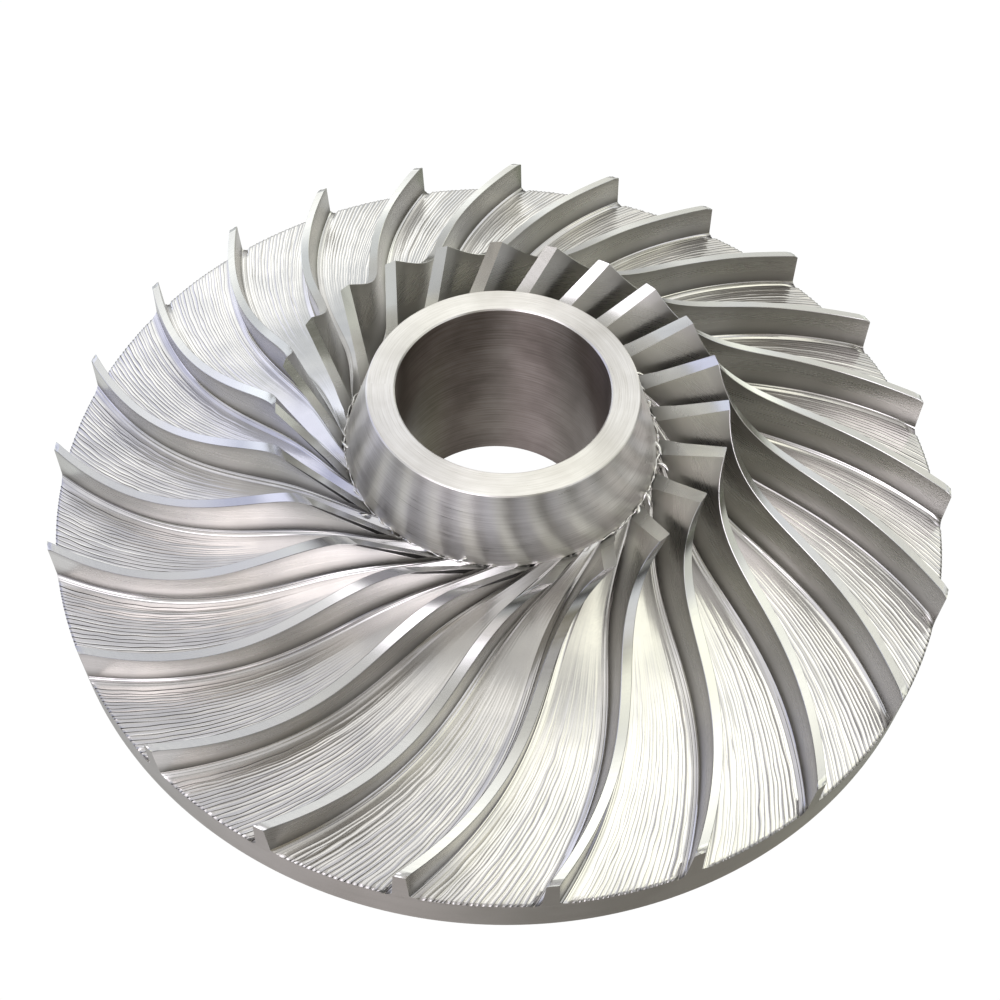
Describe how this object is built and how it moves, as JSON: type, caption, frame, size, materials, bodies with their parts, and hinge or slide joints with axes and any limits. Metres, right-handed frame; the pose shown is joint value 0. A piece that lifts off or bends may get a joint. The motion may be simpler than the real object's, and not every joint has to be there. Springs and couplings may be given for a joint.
{
  "type": "centrifugal compressor impeller",
  "caption": "Open radial compressor wheel: backswept blades curl round a flared hub with a central shaft bore, to fling gas outwards from inlet to rim.",
  "frame": {"origin": "centre of the flat rear face of the hub, on the bore axis", "axes": "+Z along the bore axis, from the rear face to the inlet nose; +X and +Y in the plane of the disc"},
  "size_m": [0.4, 0.4, 0.0998],
  "materials": {
    "turned_steel": "bright turned martensitic stainless steel with fine lathe lines",
    "milled_steel": "ball-milled martensitic stainless steel with scalloped cutter passes",
    "ground_steel": "plain turned martensitic stainless steel, satin",
    "blade_steel": "flank-milled martensitic stainless steel, smooth satin"
  },
  "bodies": {
    "root": {"nose": "turned_steel", "hub_disc": "milled_steel", "rear_boss": "ground_steel", "blade_01": "blade_steel", "blade_02": "blade_steel", "blade_03": "blade_steel", "blade_04": "blade_steel", "blade_05": "blade_steel", "blade_06": "blade_steel", "blade_07": "blade_steel", "blade_08": "blade_steel", "blade_09": "blade_steel", "blade_10": "blade_steel", "blade_11": "blade_steel", "blade_12": "blade_steel", "blade_13": "blade_steel", "blade_14": "blade_steel", "blade_15": "blade_steel", "blade_16": "blade_steel", "blade_17": "blade_steel", "blade_18": "blade_steel", "blade_19": "blade_steel", "blade_20": "blade_steel", "blade_21": "blade_steel", "blade_22": "blade_steel", "blade_23": "blade_steel"}
  },
  "joints": []
}
